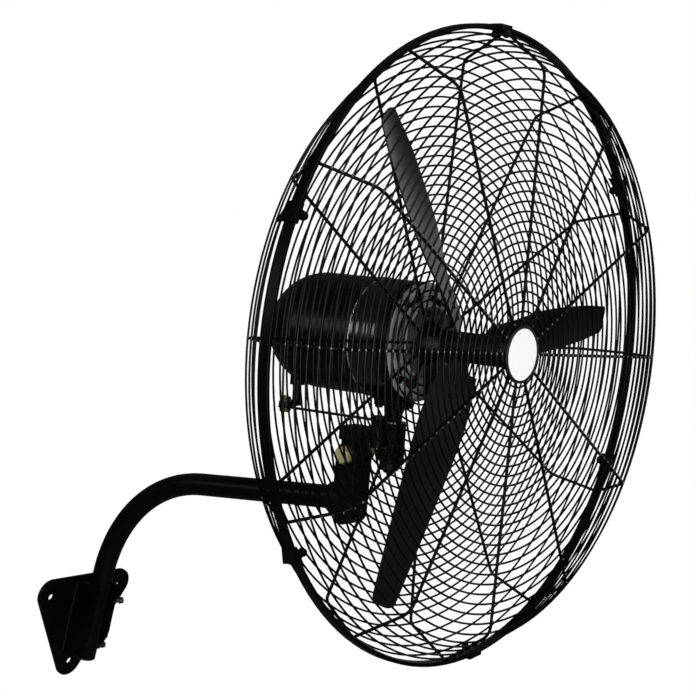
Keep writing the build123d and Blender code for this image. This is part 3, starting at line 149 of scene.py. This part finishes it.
class Wire:
    """A socket that takes part in arithmetic; add() puts any other node beside it."""

    def __init__(self, tree, socket=None):
        self.tree = tree
        self.socket = socket

    def add(self, kind, inputs, settings=None, output=0):
        """Adds a node, sets or links its inputs, and gives one of its outputs."""
        node = self.tree.nodes.new("ShaderNode" + kind)
        for name, value in (settings or {}).items():
            setattr(node, name, value)
        for name, value in inputs.items():
            if isinstance(value, Wire):
                self.tree.links.new(value.socket, node.inputs[name])
            else:
                node.inputs[name].default_value = value
        return Wire(self.tree, node.outputs[output])

    def maths(self, operation, other):
        """This value and another, which may be a number, put through a Math node."""
        return self.add("Math", {0: self, 1: other}, {"operation": operation})

    def __add__(self, other):
        return self.maths("ADD", other)

    def __mul__(self, other):
        return self.maths("MULTIPLY", other)

    def stretch(self, low, high):
        """This value with low brought down to 0 and high up to 1."""
        ramp = self.add("ValToRGB", {0: self})
        for stop, position in zip(ramp.socket.node.color_ramp.elements, (low, high)):
            stop.position = position
        return ramp

    def blend(self, first, second):
        """A colour between two, by this value. 6, 7 and 2 are the Mix node's colour sockets."""
        first, second = (colour if isinstance(colour, Wire) else (*colour, 1)
                         for colour in (first, second))
        return self.add("Mix", {0: self, 6: first, 7: second}, {"data_type": "RGBA"}, 2)


def begin(name):
    """A new material, its shader and a Wire on the object's coordinates."""
    material = bpy.data.materials.new(name)
    material.use_nodes = True
    shader = material.node_tree.nodes["Principled BSDF"]
    place = Wire(material.node_tree).add("TexCoord", {}, output="Object")
    return material, shader, place


def feed(wire, shader, name):
    """Links a Wire to an input of the shader."""
    wire.tree.links.new(wire.socket, shader.inputs[name])


def noise(place, scale, detail=3.0, rough=0.5):
    """Soft noise, with about as many cells to a metre as its scale says."""
    inputs = {"Vector": place, "Scale": scale, "Detail": detail, "Roughness": rough}
    return place.add("TexNoise", inputs)


def roughen(shader, mean, *parts):
    """Roughness about a mean, from noises, which average a half, and how far each moves it."""
    total = mean - sum(reach for _, reach in parts) / 2
    for wire, reach in parts:
        total = wire * reach + total
    feed(total, shader, "Roughness")


def bump(shader, strength, depth, height):
    """Raises the surface by a height from 0 to 1, of a depth in metres."""
    inputs = {"Strength": strength, "Distance": depth, "Height": height}
    feed(height.add("Bump", inputs), shader, "Normal")


def powder_coat(name, colour, dusty, rough, shine, peel=0.12):
    """Baked powder coat: orange peel, cloudy gloss and faint pale dust."""
    material, shader, place = begin(name)
    cloud = noise(place, COAT_CLOUDS, 4.0)
    speck = noise(place, COAT_SPECKS, 2.0)
    dust = (cloud * 0.7 + speck * 0.3).stretch(0.45, 0.72)
    skin = noise(place, PEEL_FINE, 1.5) * 0.7 + noise(place, PEEL_COARSE, 1.0) * 0.3
    feed(dust.blend(colour, dusty), shader, "Base Color")
    roughen(shader, rough, (cloud, 0.16), (speck, 0.06))
    bump(shader, peel, PEEL_DEPTH, skin)
    shader.inputs["Specular IOR Level"].default_value = shine
    return material


def dress(material, *names):
    """Gives a finish to CAD pieces."""
    for name in names:
        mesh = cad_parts[name].data
        mesh.materials.clear()
        mesh.materials.append(material)


arm_black = powder_coat("arm_black", (0.0012, 0.0012, 0.0014), (0.0028, 0.0028, 0.003),
                        rough=0.34, shine=0.08)
dress(arm_black, "wall_plate", "tube_bracket", "arm_tube")


# ---- Bracket welds -------------------------------------------------------------------------------
# Two fillet welds run down the channel, one on each side, where it stands on the plate. They are
# ripples of filler metal under the same black coat.
BRACKET_SIDE = 0.0203
PLATE_FACE = -0.005
WELD_TOP = 0.058
WELD_BOTTOM = -0.053
WELD_THROAT = 0.0032
WELD_RIPPLE = 0.0024
RIPPLE_LEAN = radians(20)
RIPPLE_HEIGHT = 0.62


def finish(shape, name, material, body):
    """Makes a bmesh a smooth piece of the scene, in one material, riding on a body."""
    bmesh.ops.recalc_face_normals(shape, faces=shape.faces)
    for face in shape.faces:
        face.smooth = True
    mesh = bpy.data.meshes.new(name)
    shape.to_mesh(mesh)
    shape.free()
    mesh.materials.append(material)
    piece = bpy.data.objects.new(name, mesh)
    scene.collection.objects.link(piece)
    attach(piece, body)


seams = bmesh.new()
ripple_form = Matrix.Rotation(RIPPLE_LEAN, 4, "X") @ Matrix.Diagonal((1, 1, RIPPLE_HEIGHT, 1))
for side in (-1, 1):
    for i in range(int((WELD_TOP - WELD_BOTTOM) / WELD_RIPPLE)):
        spot = Matrix.Translation((side * BRACKET_SIDE, PLATE_FACE, WELD_BOTTOM + i * WELD_RIPPLE))
        bmesh.ops.create_icosphere(seams, subdivisions=2, radius=WELD_THROAT,
                                   matrix=spot @ ripple_form)
finish(seams, "bracket_welds", arm_black, "wall_arm")


# ---- Bracket screws ------------------------------------------------------------------------------
# Three hexagon screws with lock nuts, through one ear of the channel and tight against the
# tube. Plated steel, dulled and worn a little bright.
TINT_CLOUDS = 60.0
TURNING_MARKS = 1400.0
MARK_DEPTH = 0.0002


def plated(name, colour, second, rough=0.32, grain=0.1, metal=0.95):
    """Turned and plated steel: faint turning marks and a cloudy tint."""
    material, shader, place = begin(name)
    cloud = noise(place, TINT_CLOUDS)
    marks = noise(place, TURNING_MARKS, 2.0)
    feed(cloud.stretch(0.38, 0.66).blend(colour, second), shader, "Base Color")
    roughen(shader, rough, (cloud, 0.2), (marks, 0.1))
    bump(shader, grain, MARK_DEPTH, marks)
    shader.inputs["Metallic"].default_value = metal
    return material


worn_steel = plated("worn_steel", (0.10, 0.10, 0.10), (0.26, 0.26, 0.255), rough=0.34)
dress(worn_steel, "bracket_bolts", "bracket_nuts")


# ---- Tube plug and cable gland -------------------------------------------------------------------
# A plug pressed into the tube's lower end and a gland screwed into the cover. Both are injection
# moulded black plastic with a fine spark-eroded grain.
PLASTIC_CLOUDS = 40.0
SPARK_GRAIN = 1800.0
SPARK_DEPTH = 0.0002


def moulded(name, colour, paler):
    """Matt moulded plastic."""
    material, shader, place = begin(name)
    grit = noise(place, SPARK_GRAIN, 2.0)
    feed(noise(place, PLASTIC_CLOUDS, 2.0).blend(colour, paler), shader, "Base Color")
    roughen(shader, 0.5, (grit, 0.14))
    bump(shader, 0.2, SPARK_DEPTH, grit)
    shader.inputs["Specular IOR Level"].default_value = 0.4
    return material


black_plastic = moulded("black_plastic", (0.003, 0.003, 0.003), (0.00405, 0.00405, 0.00405))
dress(black_plastic, "tube_end_plug", "cable_gland")


# ---- Knuckle, tilting head and post --------------------------------------------------------------
# Iron sand castings under the same black coat, whose cast skin shows as a coarser bump. The
# knuckle is clamped on the tube and the post is screwed to the motor, with blackened screws.
CAST_CLOUDS = 22.0
CAST_SKIN = 240.0
CAST_DEPTH = 0.0006


def casting(name, rough, tint):
    """Coated casting, whose tint makes a colour from a place and from soft clouds."""
    material, shader, place = begin(name)
    cloud = noise(place, CAST_CLOUDS)
    skin = noise(place, CAST_SKIN, 4.0, 0.6)
    feed(tint(place, cloud), shader, "Base Color")
    roughen(shader, rough, (cloud, 0.18), (skin, 0.08))
    bump(shader, 0.35, CAST_DEPTH, skin)
    shader.inputs["Specular IOR Level"].default_value = 0.12
    return material


def dusty_black(place, cloud):
    """The coat's colour, the same at every place but for a little dust."""
    return cloud.blend((0.0012, 0.0012, 0.0014), (0.0035, 0.0035, 0.0037))


cast_black = casting("cast_black", 0.5, dusty_black)
dress(cast_black, "knuckle", "tilt_head", "pivot_post")
black_bolt = plated("black_bolt", (0.018, 0.018, 0.019), (0.035, 0.034, 0.033), rough=0.42)
dress(black_bolt, "knuckle_clamp_screw", "foot_screws")

# ---- Tilt bolt and crank pin ---------------------------------------------------------------------
# Steel passivated in yellow zinc. The head of the tilt bolt is the one pale gold spot on the fan:
# partly the plating's colour and partly a painted highlight. Its nut and washers and the crank's
# pin are a darker olive.
# The head's pale gold is partly the zinc's own colour and partly a painted highlight.
yellow_zinc = plated("yellow_zinc", (0.90, 0.80, 0.42), (0.74, 0.70, 0.44),
                     rough=0.4, grain=0.2, metal=0.6)
dress(yellow_zinc, "tilt_bolt")
olive_zinc = plated("olive_zinc", (0.20, 0.19, 0.08), (0.14, 0.15, 0.07), rough=0.36)
dress(olive_zinc, "crank_pin", "crank_pin_nut", "tilt_nut", "tilt_washers")

# ---- Swing collar and shaft hardware -------------------------------------------------------------
# Thrust washer, ground motor shaft with its nut, and ball bearings, all bright. A bronze bush is
# pressed into the collar, and a blackened nut holds the post in it. The worm wheel is bronze too.
bright_zinc = plated("bright_zinc", (0.40, 0.40, 0.41), (0.52, 0.52, 0.54), rough=0.36)
dress(bright_zinc, "thrust_washer", "motor_shaft", "bearings", "shaft_nut")
bronze = plated("bronze", (0.45, 0.29, 0.12), (0.36, 0.24, 0.11), rough=0.4)
dress(bronze, "pivot_bush", "worm_wheel")
dress(black_bolt, "post_nut")

# ---- Motor ---------------------------------------------------------------------------------------
# Deep drawn dome in black and a rolled shell in a glossier enamel, held by blackened screws. The
# front casting is coated too, and its vented face is bare grey metal but for a round black centre
# behind the hub, which is painted shade.
RIM_POINT = Vector((0, -0.574418, 0.622549))
HEAD_TILT = radians(12.5)
FORWARD = Vector((0, -cos(HEAD_TILT), sin(HEAD_TILT)))
BARE_FROM = -0.083
# Radius of the black centre of the front face, which is painted shade behind the hub.
SHADED_CENTRE_RADIUS = 0.032


def bare_face_and_painted_shade(place, cloud):
    """Grey metal on the front, black painted shade in a round centre, and the black coat elsewhere.
    """
    from_rim = place.add("VectorMath", {0: place, 1: RIM_POINT}, {"operation": "SUBTRACT"})
    depth = place.add("VectorMath", {0: from_rim, 1: FORWARD}, {"operation": "DOT_PRODUCT"},
                      "Value")
    square = place.add("VectorMath", {0: from_rim, 1: FORWARD}, {"operation": "CROSS_PRODUCT"})
    radius = place.add("VectorMath", {0: square}, {"operation": "LENGTH"}, "Value")
    # Within the centre radius the face keeps the near-black colour, as painted shade behind the
    # hub.
    bare = depth.maths("GREATER_THAN", BARE_FROM) * radius.maths("GREATER_THAN", SHADED_CENTRE_RADIUS)
    grey = cloud.blend((0.22, 0.22, 0.222), (0.34, 0.34, 0.343))
    return bare.blend((0.002, 0.002, 0.0022), grey)


shell_black = powder_coat("shell_black", (0.0018, 0.0018, 0.002), (0.0035, 0.0035, 0.0037),
                          rough=0.3, shine=0.11, peel=0.1)
dress(shell_black, "rear_cover")
shell_enamel = powder_coat("shell_enamel", (0.0014, 0.0014, 0.0016), (0.0035, 0.0035, 0.0037),
                           rough=0.2, shine=0.55, peel=0.05)
dress(shell_enamel, "motor_shell")
dress(casting("bell_grey", 0.42, bare_face_and_painted_shade), "front_end_bell")
dress(black_bolt, "tie_screws", "cover_screws", "guard_screws")

# ---- Lip of the cover ----------------------------------------------------------------------------
# The drawn cover ends in a narrow rolled lip where it meets the shell. It is coloured bright bare
# metal as a painted highlight, so that a bright line shows along the seam.
LIP_DEPTH = -0.1458
LIP_RADIUS = 0.0778
LIP_ROLL = 0.0012
LIP_WIDENING = 2.4
LIP_SIDES = 10
LIP_STEPS = 96


def on_axis(depth, angle=0.0):
    """Place at a depth along the fan's axis: x outward at an angle, z forward."""
    up = Vector((0, sin(HEAD_TILT), cos(HEAD_TILT)))
    turned = Matrix((Vector((1, 0, 0)), up, FORWARD)).transposed().to_4x4()
    return (Matrix.Translation(RIM_POINT + depth * FORWARD) @ turned
            @ Matrix.Rotation(angle, 4, "Z"))


lip = bmesh.new()
upright = Matrix.Translation((LIP_RADIUS, 0, 0)) @ Matrix.Rotation(pi / 2, 4, "X")
bmesh.ops.create_circle(lip, segments=LIP_SIDES, radius=LIP_ROLL, matrix=upright)
bmesh.ops.scale(lip, vec=(1, 1, LIP_WIDENING), verts=lip.verts)
bmesh.ops.spin(lip, geom=lip.verts[:] + lip.edges[:], cent=(0, 0, 0), axis=(0, 0, 1),
               dvec=(0, 0, 0), angle=2 * pi, steps=LIP_STEPS, use_merge=True, use_duplicate=False)
bmesh.ops.transform(lip, matrix=on_axis(LIP_DEPTH), verts=lip.verts)
# Bright metal colour on the lip: a painted highlight along the seam.
lip_painted_highlight = plated("lip_painted_highlight", (0.36, 0.36, 0.36), (0.54, 0.54, 0.54),
                     rough=0.28, metal=0.92)
finish(lip, "cover_lip", lip_painted_highlight, "fan_head")


# ---- Motor cores and windings --------------------------------------------------------------------
# The stator and rotor are stacks of punched core sheets. The coil heads at both ends of the
# stator are varnished copper wire, seen as dark red through the vents.
SHEET_BANDS = 320.0
WIRE_BANDS = 260.0
WIRE_DEPTH = 0.0008


def stacked_sheets(name, colour, darker):
    """Edges of core sheets, as fine bands across the axis."""
    material, shader, place = begin(name)
    sheets = {"Vector": place, "Scale": SHEET_BANDS, "Distortion": 0.4}
    bands = place.add("TexWave", sheets, {"bands_direction": "Y"}, "Fac")
    feed(bands.blend(colour, darker), shader, "Base Color")
    roughen(shader, 0.5, (bands, 0.2))
    shader.inputs["Metallic"].default_value = 0.8
    return material


def wound_wire(name, darker, colour):
    """Wire laid in uneven turns."""
    material, shader, place = begin(name)
    strands = {"Vector": place, "Scale": WIRE_BANDS, "Distortion": 3.0, "Detail": 1.0}
    turns = place.add("TexWave", strands, {"bands_direction": "DIAGONAL"}, "Fac")
    feed(turns.blend(darker, colour), shader, "Base Color")
    roughen(shader, 0.35, (turns, 0.2))
    bump(shader, 0.6, WIRE_DEPTH, turns)
    shader.inputs["Metallic"].default_value = 0.6
    return material


core_sheets = stacked_sheets("core_sheets", (0.16, 0.16, 0.17), (0.088, 0.088, 0.0935))
dress(core_sheets, "stator_core", "rotor_core")
copper_wire = wound_wire("copper_wire", (0.12, 0.045, 0.02), (0.24, 0.09, 0.04))
dress(copper_wire, "stator_windings")

# ---- Bearing bracket and gearbox -----------------------------------------------------------------
# Two castings under the dome: a bare aluminium bracket that carries the rear bearing, and the
# black gearbox behind it, which holds the worm wheel.
bare_casting = plated("bare_casting", (0.34, 0.34, 0.35), (0.45, 0.45, 0.46),
                      rough=0.5, grain=0.3, metal=0.8)
dress(bare_casting, "rear_bearing_bracket")
dress(cast_black, "gearbox_housing")

# ---- Swing linkage -------------------------------------------------------------------------------
# Flat steel crank and link in the black coat. The olive pin joins them, and a blackened screw
# holds the link's far end over the lug of the tilting head.
dress(arm_black, "crank_shaft", "crank_arm", "link_bar")
dress(black_bolt, "link_end_screw")

# ---- Hub and blades ------------------------------------------------------------------------------
# Pressed sheet blades, riveted to the hub's arms and painted satin charcoal, greener and paler
# than the rest. The hub is a casting in plain satin black, set on the shaft by screws.
blade_paint = powder_coat("blade_paint", (0.0038, 0.0045, 0.0043), (0.0078, 0.0086, 0.0083),
                          rough=0.4, shine=0.16, peel=0.08)
dress(blade_paint, "blade_1", "blade_2", "blade_3")
hub_paint = powder_coat("hub_paint", (0.002, 0.002, 0.0022), (0.005, 0.005, 0.005),
                        rough=0.45, shine=0.2)
dress(hub_paint, "fan_hub", "blade_rivets", "hub_set_screws")

# ---- Guards --------------------------------------------------------------------------------------
# Drawn wire rings and spokes, spot welded and coated black, with a rolled hoop and six clips
# round both rims. The ring in the middle of the rear guard is dull zinc and seats on the motor.
wire_black = powder_coat("wire_black", (0.0009, 0.0009, 0.0011), (0.0022, 0.0022, 0.0024),
                         rough=0.36, shine=0.06, peel=0.06)
dress(wire_black, "front_guard_spokes", "front_guard_face_rings", "front_guard_side_rings",
      "rear_guard_spokes", "rear_guard_face_rings", "rear_guard_side_rings",
      "front_centre_plate", "guard_rim_wires", "rim_hoop", "rim_clips")
dress(black_bolt, "clip_screws", "clip_nuts")
dull_zinc = plated("dull_zinc", (0.07, 0.07, 0.072), (0.12, 0.12, 0.122), rough=0.42, metal=0.6)
dress(dull_zinc, "rear_centre_ring")

# ---- Spot welds of the guards --------------------------------------------------------------------
# Each ring is spot welded to each spoke. The wires flow together there in a small nugget, which
# is coloured paler metal than the black coat, as a painted glint at the crossings.
SPOKE_COUNT = 12
SPOKE_PHASE = radians(-2.0)
NUGGET = (0.0018, 0.0032, 0.0018)
RING_GAP = 0.003


def ring_places(name):
    """Radius and depth of each ring in a CAD node of rings."""
    level = on_axis(0).inverted()
    spots = [level @ corner.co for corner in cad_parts[name].data.vertices]
    spots = sorted((hypot(spot.x, spot.y), spot.z) for spot in spots)
    rows = [[spots[0]]]
    for spot in spots[1:]:
        if spot[0] - rows[-1][-1][0] > RING_GAP:
            rows.append([])
        rows[-1].append(spot)
    for row in rows:
        depths = [depth for _, depth in row]
        yield (row[0][0] + row[-1][0]) / 2, (min(depths) + max(depths)) / 2


# Paler metal colour on the nuggets: a painted glint where rings cross spokes.
weld_painted_glint = plated("weld_painted_glint", (0.04, 0.04, 0.04), (0.15, 0.15, 0.147), grain=0.2, metal=0.85)
for guard in ("front", "rear"):
    nuggets = bmesh.new()
    for rings in ("_guard_face_rings", "_guard_side_rings"):
        for radius, depth in ring_places(guard + rings):
            swell = Matrix.Translation((radius, 0, 0)) @ Matrix.Diagonal((*NUGGET, 1))
            for i in range(SPOKE_COUNT):
                crossing = on_axis(depth, SPOKE_PHASE + 2 * pi * i / SPOKE_COUNT)
                bmesh.ops.create_icosphere(nuggets, subdivisions=1, radius=1.0,
                                           matrix=crossing @ swell)
    finish(nuggets, guard + "_guard_welds", weld_painted_glint, "fan_head")


# ---- Badge ---------------------------------------------------------------------------------------
# Bare round disc of white gloss plastic, pressed into a black moulded rim in the middle of the
# front guard.
GLOSS_CLOUDS = 30.0
GLOSS_RIPPLE = 120.0
GLOSS_DEPTH = 0.0003


def glossy(name, colour, second):
    """Polished plastic with a barely visible ripple."""
    material, shader, place = begin(name)
    cloud = noise(place, GLOSS_CLOUDS, 2.0)
    feed(cloud.blend(colour, second), shader, "Base Color")
    roughen(shader, 0.23, (cloud, 0.1))
    bump(shader, 0.03, GLOSS_DEPTH, noise(place, GLOSS_RIPPLE, 1.0))
    return material


dress(glossy("badge_white", (0.93, 0.93, 0.93), (0.90, 0.90, 0.895)), "badge_disc")
dress(black_plastic, "badge_rim")
